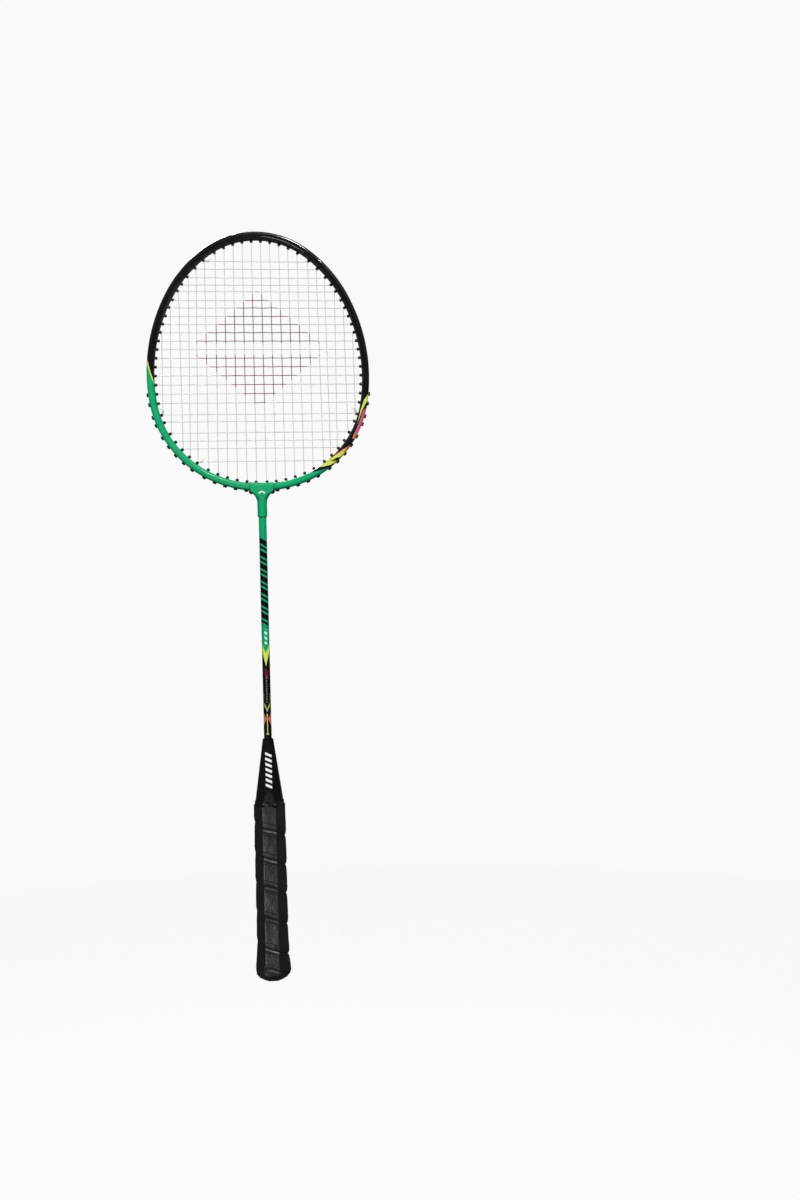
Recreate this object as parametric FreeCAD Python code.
import FreeCAD, Part
import math
import os

# Badminton racket: a bent aluminium head tube on a cast T-joint, a steel shaft glued into a wooden
# handle, a plastic cone and butt cap, a wrapped grip, grommets and strings.
# Millimetres. The origin is the centre of the butt's flat end, +Z runs along the shaft to the top
# of the head, X runs across the string bed, and the front of the string bed faces -Y.

V = FreeCAD.Vector
ACROSS = V(0, 1, 0)

TOTAL_LENGTH = 665.0

# Head outline. Each half is five tangent arcs from the top to the bottom: the outer radius of the
# first four, and the angles from the top at which the arcs meet. The fifth radius closes the ring.
HEAD_RADII = (77.0, 118.0, 155.0, 92.0)
HEAD_BREAKS = (0.0, 36.0, 62.0, 99.0, 158.0, 180.0)

# Head tube section: across the rim, through the rim, and the string groove round its outside.
TUBE_WIDTH = 6.2
TUBE_DEPTH = 10.5
TUBE_WALL = 0.8
GROOVE_WIDTH = 4.2
GROOVE_DEPTH = 1.6
GROOVE_CORNER = 0.3
OUTER_ROUND = 2.2
INNER_ROUND = 2.9
LOBE_CORNER = 0.2
LOBE_ROUND = 1.1
BORE_ROUND = 2.0

# T-joint.
SEAM_ANGLE = 173.8
JOINT_PROUD = 0.2
JOINT_TOP_EXTRA = 0.8
SPIGOT_TURN = 10.0
SPIGOT_ROOT = 1.0
SPIGOT_GAP = 0.05
SLEEVE_RADIUS = 4.3
SLEEVE_BOTTOM = 411.0
SLEEVE_CHAMFER = 0.7
FILLET_RADIUS = 12.0
FILLET_START = 423.2

# Shaft.
SHAFT_RADIUS = 3.4
SHAFT_WALL = 0.7
SHAFT_BOTTOM = 70.0
SHAFT_TOP = 431.5
SHAFT_BORE_RADIUS = 3.45
SHAFT_END_GAP = 0.5

# Handle. Every octagon is the wrapped grip's own, set in by some amount on all eight faces.
GRIP_WIDTH = 27.0
GRIP_DEPTH = 24.0
GRIP_BEVEL = 7.2
BEVEL_PER_INSET = 2.0 - math.sqrt(2.0)
WRAP_TOP = 155.0
SKIRT_BOTTOM = 150.0
NECK_TOP = 163.0
CAP_TOP = 7.0
CORE_INSET = 1.7
SKIRT_INSET = 0.9
NECK_INSET = 2.6
NECK_ROOT = 1.0
# (height, inset) of the octagons that the wood, its narrow end, the butt cap and the grip pass through.
CORE_STATIONS = [(CAP_TOP, 0.1), (8.3, 0.0), (19.0, 0.95), (35.0, CORE_INSET), (SKIRT_BOTTOM, CORE_INSET)]
CORE_END_STATIONS = [(1.7, 6.6), (3.9, 3.4), (CAP_TOP, 0.4)]
CAP_STATIONS = [(0.0, 6.4), (2.9, 1.8), (CAP_TOP, -1.4)]
WRAP_STATIONS = [(CAP_TOP, -1.6), (8.3, -1.7), (19.0, -0.75), (35.0, 0.0), (WRAP_TOP, 0.0)]
TAPE_THICKNESS = 0.25
TAPE_BOTTOM = 149.8
TAPE_TOP = 158.7

# Cone cap.
CONE_TOP = 213.8
CONE_TOP_RADIUS = 4.65
CONE_SLOPE = 0.1405
CONE_WALL = 1.5
CONE_ROOF = 8.0

# Pin through the shaft and the wood, and the staple that holds the start of the grip.
PIN_RADIUS = 1.0
PIN_HEIGHT = 140.0
STAPLE_HEIGHT = 14.0
STAPLE_CROWN = 8.0
STAPLE_LEG = 5.0
STAPLE_WIRE = 0.3
STAPLE_CORNER = 0.6

# Grommets, measured along their own axis from the tube's centreline, outwards. The last three of
# the throat's are measured from where its axis leaves the T-joint.
BARREL_RADIUS = 1.37
BARREL_BORE = 0.85
BARREL_HOLE = 1.4
HOLE_START = -4.6
TIP_BEVEL = 0.25
TIP_TAPER = 0.5
GROMMET_TIP = -5.5
GROMMET_SEAT = TUBE_WIDTH / 2 - GROOVE_DEPTH
FLANGE_RADIUS = 1.9
FLANGE_BEVEL = 0.4
FLANGE_FLUSH = 3.0
FLANGE_PROUD = 4.7
SLOT_FLOOR = 2.2
TOP_GROUP_ANGLE = 30.0
PROUD_FROM_ANGLE = 95.0
THROAT_TIP = (4.3, 443.4)
THROAT_HEAD = (9.73, 433.15)
THROAT_SEAT = -0.7
THROAT_FLANGE = 1.2
THROAT_SLOT = -0.5
SEAT_GAP = 0.1

# Strings. Mains run up the racket in one layer, crosses across it in the other.
STRING_RADIUS = 0.35
MAINS_PER_SIDE = 11
MAIN_PITCH = 8.05
MAIN_FAN = 0.06
CROSS_COUNT = 24
FIRST_CROSS = 637.9
FIRST_CROSS_GAP = 6.5
LAST_CROSS_GAP = 8.8
MAIN_LAYER = 0.4
CROSS_LAYER = -0.4
TURN_LEVEL = 2.6
TURN_CORNER = 0.8
TURN_BEND = 20.0
RUN_END_GAP = 0.5
SHARE_WITHIN = 5.4
THROAT_TURN = 0.5
CHANNEL_RADIUS = 0.6
KNOT_RADIUS = 1.1
KNOT_LENGTH = 2.2
KNOT_ROUND = 0.5
KNOT_GAP = 0.05
KNOT_PLACE = 2.0


def head_arcs():
    """Each arc of one half as (start angle, end angle, centre x, centre z, outer radius)."""
    breaks = [math.radians(angle) for angle in HEAD_BREAKS]
    reach = sum(
        radius * (math.sin(breaks[i + 1]) - math.sin(breaks[i]))
        for i, radius in enumerate(HEAD_RADII)
    )
    radii = HEAD_RADII + (reach / math.sin(breaks[4]),)
    x, z = 0.0, TOTAL_LENGTH - radii[0]
    arcs = []
    for i, radius in enumerate(radii):
        if i:
            step = radii[i - 1] - radius
            x += step * math.sin(breaks[i])
            z += step * math.cos(breaks[i])
        arcs.append((HEAD_BREAKS[i], HEAD_BREAKS[i + 1], x, z, radius))
    return arcs


HEAD_ARCS = head_arcs()


def arc_at(angle):
    """The head arc at this angle from the top, on either side."""
    turn = min(abs(angle), 180.0)
    return next(arc for arc in HEAD_ARCS if turn <= arc[1])


def head_point(angle, offset=0.0, y=0.0):
    """A point beside the tube's centreline: offset is outwards, and a negative angle is the left half."""
    side = -1.0 if angle < 0 else 1.0
    _, _, x, z, radius = arc_at(angle)
    reach = radius - TUBE_WIDTH / 2 + offset
    turn = math.radians(abs(angle))
    return V(side * (x + reach * math.sin(turn)), y, z + reach * math.cos(turn))


def outward(angle):
    return V(math.sin(math.radians(angle)), 0, math.cos(math.radians(angle)))


def rounded_edges(points, radii, closed):
    """Straight edges through the points, with a tangent arc of its own radius at each corner."""
    count = len(points)
    cuts = []
    for i, corner in enumerate(points):
        if not closed and i in (0, count - 1):
            cuts.append((corner, None, corner))
            continue
        back = (points[i - 1] - corner).normalize()
        ahead = (points[(i + 1) % count] - corner).normalize()
        half = back.getAngle(ahead) / 2
        trim = radii[i] / math.tan(half)
        crown = corner + (back + ahead).normalize() * (radii[i] / math.sin(half) - radii[i])
        cuts.append((corner + back * trim, crown, corner + ahead * trim))
    edges = []
    for i, (enter, crown, leave) in enumerate(cuts):
        if crown is not None:
            edges.append(Part.Arc(enter, crown, leave).toShape())
        if closed or i < count - 1:
            edges.append(Part.LineSegment(leave, cuts[(i + 1) % count][0]).toShape())
    return edges


def rounded_face(corners):
    """A face in the X = 0 plane from (z, y, corner radius) triples, its z outwards at the head's top."""
    points = [V(0, y, z) for z, y, _ in corners]
    radii = [radius for _, _, radius in corners]
    return Part.Face(Part.Wire(rounded_edges(points, radii, True)))


def round_wire(path, radius):
    """A round section swept along a smooth path that starts along its first edge."""
    edge = path.Edges[0]
    start = edge.valueAt(edge.FirstParameter)
    ring = Part.Wire(Part.makeCircle(radius, start, edge.tangentAt(edge.FirstParameter)))
    return path.makePipeShell([ring], True, False)


def symmetric_section(half):
    """Adds the mirror image, front to back, of a section's corners at y > 0."""
    return half + [(z, -y, radius) for z, y, radius in reversed(half)]


def grooved_section(inner, outer, depth):
    """The rim's section: round towards the strings, with the string groove on its outside."""
    floor = TUBE_WIDTH / 2 - GROOVE_DEPTH
    half = [
        (floor, GROOVE_WIDTH / 2, GROOVE_CORNER),
        (outer, GROOVE_WIDTH / 2, GROOVE_CORNER),
        (outer, depth / 2, OUTER_ROUND),
        (inner, depth / 2, INNER_ROUND),
    ]
    return rounded_face(symmetric_section(half))


def bore_section(gap):
    """The tube's hollow, set in by a gap: two lobes beside the groove, joined behind it."""
    inner = -TUBE_WIDTH / 2 + TUBE_WALL + gap
    outer = TUBE_WIDTH / 2 - TUBE_WALL - gap
    floor = TUBE_WIDTH / 2 - GROOVE_DEPTH - TUBE_WALL - gap
    side = TUBE_DEPTH / 2 - TUBE_WALL - gap
    lobe = GROOVE_WIDTH / 2 + TUBE_WALL + gap
    half = [
        (floor, lobe, LOBE_CORNER),
        (outer, lobe, LOBE_CORNER),
        (outer, side, LOBE_ROUND),
        (inner, side, BORE_ROUND),
    ]
    return rounded_face(symmetric_section(half))


def sweep_one_arc(section, start, end):
    """Turns the section about the centre of the head arc that holds both angles."""
    middle = (start + end) / 2
    _, _, x, z, _ = arc_at(middle)
    centre = V(-x if middle < 0 else x, 0, z)
    face = section.copy()
    face.rotate(V(0, 0, 0), ACROSS, start)
    reach = arc_at(middle)[4] - TUBE_WIDTH / 2
    face.translate(centre + outward(start) * reach)
    return face.revolve(centre, ACROSS, end - start)


def sweep_head(section, end):
    """Sweeps the section round the head, from -end over the top to +end."""
    stops = [angle for angle in HEAD_BREAKS[1:-1] if angle < end] + [end]
    angles = [-angle for angle in reversed(stops)] + stops
    parts = [sweep_one_arc(section, a, b) for a, b in zip(angles, angles[1:])]
    return parts[0].multiFuse(parts[1:])


def bisect(value_at, target, low, high):
    rising = value_at(high) > value_at(low)
    for _ in range(50):
        middle = (low + high) / 2
        if (value_at(middle) < target) == rising:
            low = middle
        else:
            high = middle
    return (low + high) / 2


def tip_x(angle):
    return head_point(angle, GROMMET_TIP).x


def tip_z(angle):
    return head_point(angle, GROMMET_TIP).z


def cross_heights():
    heights = [FIRST_CROSS]
    for i in range(CROSS_COUNT - 1):
        share = i / (CROSS_COUNT - 2)
        heights.append(heights[-1] - FIRST_CROSS_GAP - share * (LAST_CROSS_GAP - FIRST_CROSS_GAP))
    return heights


def string_ends():
    """The angle at which each string of the right half would meet its own grommet."""
    ends = {}
    for i in range(1, MAINS_PER_SIDE + 1):
        top = (i - 0.5) * MAIN_PITCH
        bottom = top * (1 + MAIN_FAN * (1 - (i / MAINS_PER_SIDE) ** 2))
        ends["top", i] = bisect(tip_x, top, 0.0, 90.0)
        if i > 1:
            ends["bottom", i] = bisect(tip_x, bottom, 90.0, 180.0)
    for i, height in enumerate(cross_heights(), 1):
        ends["cross", i] = bisect(tip_z, height, 0.0, 180.0)
    return ends


def rim_distance(start, end):
    step = (end - start) / 20
    points = [head_point(start + step * i) for i in range(21)]
    return sum((b - a).Length for a, b in zip(points, points[1:]))


def share_grommets(ends):
    """Gives each string end its grommet's angle: a main and a cross that come close share one."""
    groups = []
    for key in sorted(ends, key=ends.get):
        if groups and len(groups[-1]) == 1:
            last = groups[-1][0]
            mixed = (last[0] == "cross") != (key[0] == "cross")
            if mixed and rim_distance(ends[last], ends[key]) < SHARE_WITHIN:
                groups[-1].append(key)
                continue
        groups.append([key])
    shared = {}
    for group in groups:
        angle = sum(ends[key] for key in group) / len(group)
        shared.update({key: angle for key in group})
    return shared


ENDS = share_grommets(string_ends())
GROMMET_ANGLES = sorted(set(ENDS.values()))


def placed(shape, angle):
    """A copy of a shape that was built at the top of the head, moved round to this angle."""
    copy = shape.copy()
    copy.rotate(V(0, 0, 0), ACROSS, angle)
    copy.translate(head_point(angle))
    return copy


def throat_axis(side):
    start = V(side * THROAT_TIP[0], 0, THROAT_TIP[1])
    end = V(side * THROAT_HEAD[0], 0, THROAT_HEAD[1])
    return start, (end - start).normalize(), (end - start).Length


def rim_holes():
    """The holes that the grommets pass through, right round the head."""
    hole = Part.makeCylinder(BARREL_HOLE, TUBE_WIDTH, V(0, 0, HOLE_START))
    return [placed(hole, side * angle) for side in (-1, 1) for angle in GROMMET_ANGLES]


def head_frame(holes):
    outer = grooved_section(-TUBE_WIDTH / 2, TUBE_WIDTH / 2, TUBE_DEPTH)
    tube = sweep_head(outer, SEAM_ANGLE).cut(sweep_head(bore_section(0.0), SEAM_ANGLE))
    return tube.cut(holes).removeSplitter()


def joint_stem():
    """The sleeve and its trumpet flare up to the crossbar, thinned front to back to suit both."""
    centre = V(SLEEVE_RADIUS + FILLET_RADIUS, 0, FILLET_START)
    reach = head_point(SEAM_ANGLE).x
    climb = math.acos((centre.x - reach) / FILLET_RADIUS)
    crown = centre + V(-math.cos(climb / 2), 0, math.sin(climb / 2)) * FILLET_RADIUS
    flare_end = centre + V(-math.cos(climb), 0, math.sin(climb)) * FILLET_RADIUS
    top = head_point(180.0).z
    corners = [
        V(0, 0, top),
        V(0, 0, SLEEVE_BOTTOM),
        V(SLEEVE_RADIUS - SLEEVE_CHAMFER, 0, SLEEVE_BOTTOM),
        V(SLEEVE_RADIUS, 0, SLEEVE_BOTTOM + SLEEVE_CHAMFER),
        V(SLEEVE_RADIUS, 0, FILLET_START),
    ]
    edges = [Part.LineSegment(a, b).toShape() for a, b in zip(corners, corners[1:])]
    edges.append(Part.Arc(corners[-1], crown, flare_end).toShape())
    edges.append(Part.LineSegment(flare_end, V(reach, 0, top)).toShape())
    edges.append(Part.LineSegment(V(reach, 0, top), corners[0]).toShape())
    trumpet = Part.Face(Part.Wire(edges)).revolve(V(0, 0, 0), V(0, 0, 1), 360)
    half_depth = TUBE_DEPTH / 2 + JOINT_PROUD
    side = [V(0, SLEEVE_RADIUS, SLEEVE_BOTTOM), V(0, SLEEVE_RADIUS, FILLET_START), V(0, half_depth, top)]
    outline = side + [V(0, -p.y, p.z) for p in reversed(side)]
    slab = Part.Face(Part.makePolygon(outline + outline[:1])).extrude(V(2 * reach, 0, 0))
    slab.translate(V(-reach, 0, 0))
    return trumpet.common(slab)


def t_joint(holes, channels):
    inner = -TUBE_WIDTH / 2 - JOINT_TOP_EXTRA
    bar = grooved_section(inner, TUBE_WIDTH / 2 + JOINT_PROUD, TUBE_DEPTH + 2 * JOINT_PROUD)
    body = sweep_one_arc(bar, SEAM_ANGLE, 360.0 - SEAM_ANGLE).fuse(joint_stem())
    spigot = bore_section(SPIGOT_GAP)
    right = sweep_one_arc(spigot, SEAM_ANGLE - SPIGOT_TURN, SEAM_ANGLE + SPIGOT_ROOT)
    body = body.multiFuse([right, right.mirror(V(0, 0, 0), V(1, 0, 0))])
    socket = SHAFT_TOP + SHAFT_END_GAP - SLEEVE_BOTTOM
    cuts = [Part.makeCylinder(SHAFT_BORE_RADIUS, socket, V(0, 0, SLEEVE_BOTTOM))]
    for side in (-1, 1):
        start, axis, length = throat_axis(side)
        cuts.append(Part.makeCylinder(BARREL_HOLE, 2 * length, start - axis, axis))
        seat = start + axis * (length + THROAT_SEAT)
        cuts.append(Part.makeCylinder(FLANGE_RADIUS + SEAT_GAP, length, seat, axis))
    return body.cut(cuts + holes + channels).removeSplitter()


def grommet(tip, seat, flange_top, slot_floor):
    """A plastic eyelet along +Z: barrel, flange, and a slot across the flange for the string."""
    corners = [
        (BARREL_BORE, tip),
        (BARREL_RADIUS - TIP_BEVEL, tip),
        (BARREL_RADIUS, tip + TIP_TAPER),
        (BARREL_RADIUS, seat),
        (FLANGE_RADIUS, seat),
        (FLANGE_RADIUS, flange_top - FLANGE_BEVEL),
        (FLANGE_RADIUS - FLANGE_BEVEL, flange_top),
        (BARREL_BORE, flange_top),
    ]
    outline = [V(x, 0, z) for x, z in corners + corners[:1]]
    body = Part.Face(Part.makePolygon(outline)).revolve(V(0, 0, 0), V(0, 0, 1), 360)
    across, bore = 4 * FLANGE_RADIUS, 2 * BARREL_BORE
    slot = Part.makeBox(across, bore, across, V(-across / 2, -BARREL_BORE, slot_floor))
    return body.cut(slot)


def grommet_row(side, low, high):
    """The grommets of one side between two angles. Low on the head their heads stand proud."""
    flush = grommet(GROMMET_TIP, GROMMET_SEAT, FLANGE_FLUSH, SLOT_FLOOR)
    proud = grommet(GROMMET_TIP, GROMMET_SEAT, FLANGE_PROUD, SLOT_FLOOR)
    return [
        placed(flush if angle < PROUD_FROM_ANGLE else proud, side * angle)
        for angle in GROMMET_ANGLES
        if low <= angle < high
    ]


def throat_grommets():
    """The two slanted eyelets that take the middle mains through the T-joint beside the shaft."""
    solids = []
    for side in (-1, 1):
        start, axis, length = throat_axis(side)
        eyelet = grommet(0.0, length + THROAT_SEAT, length + THROAT_FLANGE, length + THROAT_SLOT)
        eyelet.rotate(V(0, 0, 0), ACROSS, math.degrees(math.atan2(axis.x, axis.z)))
        eyelet.translate(start)
        solids.append(eyelet)
    return solids


def string_run(start, end):
    """One straight length of string, stopping just short of the eyelets at its ends."""
    along = (end - start).normalize()
    length = (end - start).Length - 2 * RUN_END_GAP
    return Part.makeCylinder(STRING_RADIUS, length, start + along * RUN_END_GAP, along)


def main_ends(side, i):
    """Bottom and top of one main string."""
    top = head_point(side * ENDS["top", i], GROMMET_TIP, MAIN_LAYER)
    if i == 1:
        return V(side * THROAT_TIP[0], MAIN_LAYER, THROAT_TIP[1]), top
    return head_point(side * ENDS["bottom", i], GROMMET_TIP, MAIN_LAYER), top


def main_strings():
    return [string_run(*main_ends(side, i)) for side in (-1, 1) for i in range(1, MAINS_PER_SIDE + 1)]


def cross_ends(i):
    angle = ENDS["cross", i]
    return head_point(-angle, GROMMET_TIP, CROSS_LAYER), head_point(angle, GROMMET_TIP, CROSS_LAYER)


def cross_strings():
    return [string_run(*cross_ends(i)) for i in range(1, CROSS_COUNT + 1)]


def turn_path(start, end, layer):
    """Out through one grommet, along the groove past any between, and in through the other."""
    low, high = sorted((start, end))
    passed = sorted({side * a for side in (-1, 1) for a in GROMMET_ANGLES if low < side * a < high})
    level = [head_point(angle, TURN_LEVEL, layer) for angle in [low] + passed + [high]]
    points = [head_point(low, GROMMET_TIP, layer)] + level + [head_point(high, GROMMET_TIP, layer)]
    radii = [0, TURN_CORNER] + [TURN_BEND] * len(passed) + [TURN_CORNER, 0]
    return Part.Wire(rounded_edges(points, radii, False))


def throat_turn_path(side):
    """From the middle main's slanted eyelet, round the T-joint's shoulder, into the next grommet."""
    start, axis, length = throat_axis(side)
    lift = V(0, MAIN_LAYER, 0)
    angle = side * ENDS["bottom", 2]
    points = [
        start + lift,
        start + axis * (length + THROAT_TURN) + lift,
        head_point(angle, TURN_LEVEL, MAIN_LAYER),
        head_point(angle, GROMMET_TIP, MAIN_LAYER),
    ]
    return Part.Wire(rounded_edges(points, [0, TURN_CORNER, TURN_CORNER, 0], False))


def main_turn_paths():
    """Mains are joined in pairs over the top from the middle outwards, and one on from that below."""
    paths = [turn_path(-ENDS["top", 1], ENDS["top", 1], MAIN_LAYER)]
    for side in (-1, 1):
        paths.append(throat_turn_path(side))
        for i in range(2, MAINS_PER_SIDE, 2):
            paths.append(turn_path(side * ENDS["top", i], side * ENDS["top", i + 1], MAIN_LAYER))
        for i in range(3, MAINS_PER_SIDE, 2):
            paths.append(turn_path(side * ENDS["bottom", i], side * ENDS["bottom", i + 1], MAIN_LAYER))
    return paths


def cross_turn_paths():
    """Crosses are joined in turn on the right and on the left, from the top down."""
    paths = []
    for i in range(1, CROSS_COUNT):
        side = 1 if i % 2 else -1
        paths.append(turn_path(side * ENDS["cross", i], side * ENDS["cross", i + 1], CROSS_LAYER))
    return paths


def string_turns(paths):
    return [round_wire(path, STRING_RADIUS) for path in paths]


def knot(start, end):
    """A tie-off bead round a string, a little way in from the eyelet at its start."""
    along = (end - start).normalize()
    bead = Part.makeCylinder(KNOT_RADIUS, KNOT_LENGTH, start + along * KNOT_PLACE, along)
    bead = bead.makeFillet(KNOT_ROUND, bead.Edges)
    return bead.cut(Part.makeCylinder(STRING_RADIUS + KNOT_GAP, 2 * KNOT_PLACE + KNOT_LENGTH, start, along))


def string_knots():
    tied = [main_ends(side, MAINS_PER_SIDE) for side in (-1, 1)]
    tied += [cross_ends(i) for i in (1, CROSS_COUNT)]
    return [knot(start, end) for start, end in tied]


def octagon(z, inset):
    """The grip's octagon at a height, set in by some amount: wide flats face front and back."""
    x = GRIP_WIDTH / 2 - inset
    y = GRIP_DEPTH / 2 - inset
    bevel = GRIP_BEVEL - BEVEL_PER_INSET * inset
    quarter = [(x, y - bevel), (x - bevel, y)]
    corners = quarter + [(-u, w) for u, w in reversed(quarter)]
    corners += [(-u, -w) for u, w in corners]
    points = [V(u, w, z) for u, w in corners]
    return Part.makePolygon(points + points[:1])


def octagonal(stations):
    """A solid through octagons at (height, inset) stations, with flat faces between them."""
    return Part.makeLoft([octagon(z, inset) for z, inset in stations], True, True)


def shaft(pin):
    tube = Part.makeCylinder(SHAFT_RADIUS, SHAFT_TOP - SHAFT_BOTTOM, V(0, 0, SHAFT_BOTTOM))
    bore = Part.makeCylinder(SHAFT_RADIUS - SHAFT_WALL, TOTAL_LENGTH, V(0, 0, 0))
    return tube.cut([bore, pin])


def handle_pin():
    length = GRIP_DEPTH - 2 * CORE_INSET
    return Part.makeCylinder(PIN_RADIUS, length, V(0, -length / 2, PIN_HEIGHT), ACROSS)


def grip_staple():
    """A wire staple behind the butt, its crown on the wood and its legs driven in."""
    share = (STAPLE_HEIGHT - CORE_STATIONS[1][0]) / (CORE_STATIONS[2][0] - CORE_STATIONS[1][0])
    surface = GRIP_DEPTH / 2 - share * CORE_STATIONS[2][1]
    crown = surface + STAPLE_WIRE
    feet = surface - STAPLE_LEG
    points = [
        V(-STAPLE_CROWN / 2, feet, STAPLE_HEIGHT),
        V(-STAPLE_CROWN / 2, crown, STAPLE_HEIGHT),
        V(STAPLE_CROWN / 2, crown, STAPLE_HEIGHT),
        V(STAPLE_CROWN / 2, feet, STAPLE_HEIGHT),
    ]
    return round_wire(Part.Wire(rounded_edges(points, [0, STAPLE_CORNER, STAPLE_CORNER, 0], False)), STAPLE_WIRE)


def handle_core(pin, staple):
    """The wooden handle: flared at the butt, with a neck for the cone and a bore for the shaft."""
    core = octagonal(CORE_STATIONS)
    end = octagonal(CORE_END_STATIONS)
    neck = octagonal([(SKIRT_BOTTOM - NECK_ROOT, NECK_INSET), (NECK_TOP, NECK_INSET)])
    bore = Part.makeCylinder(SHAFT_BORE_RADIUS, NECK_TOP, V(0, 0, SHAFT_BOTTOM))
    return core.multiFuse([end, neck]).cut([bore, pin, staple]).removeSplitter()


def butt_cap():
    """A moulded shell over the end of the wood, with a flat end face."""
    return octagonal(CAP_STATIONS).cut(octagonal(CORE_END_STATIONS))


def cone_cap():
    """A cone over the shaft's foot that turns octagonal where it meets the grip."""
    base_radius = CONE_TOP_RADIUS + CONE_SLOPE * (CONE_TOP - SKIRT_BOTTOM)
    height = CONE_TOP - SKIRT_BOTTOM
    cone = Part.makeCone(base_radius, CONE_TOP_RADIUS, height, V(0, 0, SKIRT_BOTTOM))
    body = cone.common(octagonal([(SKIRT_BOTTOM, SKIRT_INSET), (CONE_TOP, SKIRT_INSET)]))
    hollow_low = CONE_TOP_RADIUS + CONE_SLOPE * (CONE_TOP - NECK_TOP) - CONE_WALL
    hollow_high = CONE_TOP_RADIUS + CONE_SLOPE * CONE_ROOF - CONE_WALL
    hollow = Part.makeCone(hollow_low, hollow_high, CONE_TOP - CONE_ROOF - NECK_TOP, V(0, 0, NECK_TOP))
    neck = octagonal([(SKIRT_BOTTOM, NECK_INSET), (NECK_TOP, NECK_INSET)])
    bore = Part.makeCylinder(SHAFT_BORE_RADIUS, TOTAL_LENGTH, V(0, 0, 0))
    return body.cut([hollow, neck, bore])


def grip_wrap(core, staple):
    """The wound grip as one sleeve over the wood, thin where it laps the cone's skirt."""
    skirt = octagonal([(SKIRT_BOTTOM, SKIRT_INSET), (WRAP_TOP, SKIRT_INSET)])
    return octagonal(WRAP_STATIONS).cut([octagonal(CORE_STATIONS), skirt, staple])


def finishing_tape():
    """Tape round the top edge of the grip and the foot of the cone."""
    step = WRAP_TOP + TAPE_THICKNESS
    low = octagonal([(TAPE_BOTTOM, -TAPE_THICKNESS), (step, -TAPE_THICKNESS)])
    high = octagonal([(step, SKIRT_INSET - TAPE_THICKNESS), (TAPE_TOP, SKIRT_INSET - TAPE_THICKNESS)])
    grip = octagonal([(TAPE_BOTTOM, 0.0), (WRAP_TOP, 0.0)])
    skirt = octagonal([(TAPE_BOTTOM, SKIRT_INSET), (TAPE_TOP, SKIRT_INSET)])
    return low.fuse(high).cut([grip, skirt]).removeSplitter()


def build():
    holes = rim_holes()
    pin = handle_pin()
    staple = grip_staple()
    core = handle_core(pin, staple)
    channels = [round_wire(throat_turn_path(side), CHANNEL_RADIUS) for side in (-1, 1)]
    nodes = {
        "head_frame": head_frame(holes),
        "t_joint": t_joint(holes, channels),
        "shaft": shaft(pin),
        "cone_cap": cone_cap(),
        "handle_core": core,
        "handle_pin": pin,
        "butt_cap": butt_cap(),
        "grip_staple": staple,
        "grip_wrap": grip_wrap(core, staple),
        "finishing_tape": finishing_tape(),
        "grommets_top": grommet_row(-1, 0, TOP_GROUP_ANGLE) + grommet_row(1, 0, TOP_GROUP_ANGLE),
        "grommets_upper_left": grommet_row(-1, TOP_GROUP_ANGLE, PROUD_FROM_ANGLE),
        "grommets_upper_right": grommet_row(1, TOP_GROUP_ANGLE, PROUD_FROM_ANGLE),
        "grommets_lower_left": grommet_row(-1, PROUD_FROM_ANGLE, 180),
        "grommets_lower_right": grommet_row(1, PROUD_FROM_ANGLE, 180),
        "grommets_throat": throat_grommets(),
        "main_strings": main_strings(),
        "cross_strings": cross_strings(),
        "main_string_turns": string_turns(main_turn_paths()),
        "cross_string_turns": string_turns(cross_turn_paths()),
        "string_knots": string_knots(),
    }
    os.makedirs("parts", exist_ok=True)
    for name, shape in nodes.items():
        if isinstance(shape, list):
            shape = Part.makeCompound(shape)
        shape.exportStep("parts/" + name + ".step")
        print(name, "solids", len(shape.Solids), "volume", round(shape.Volume, 1), "valid", shape.isValid())


build()
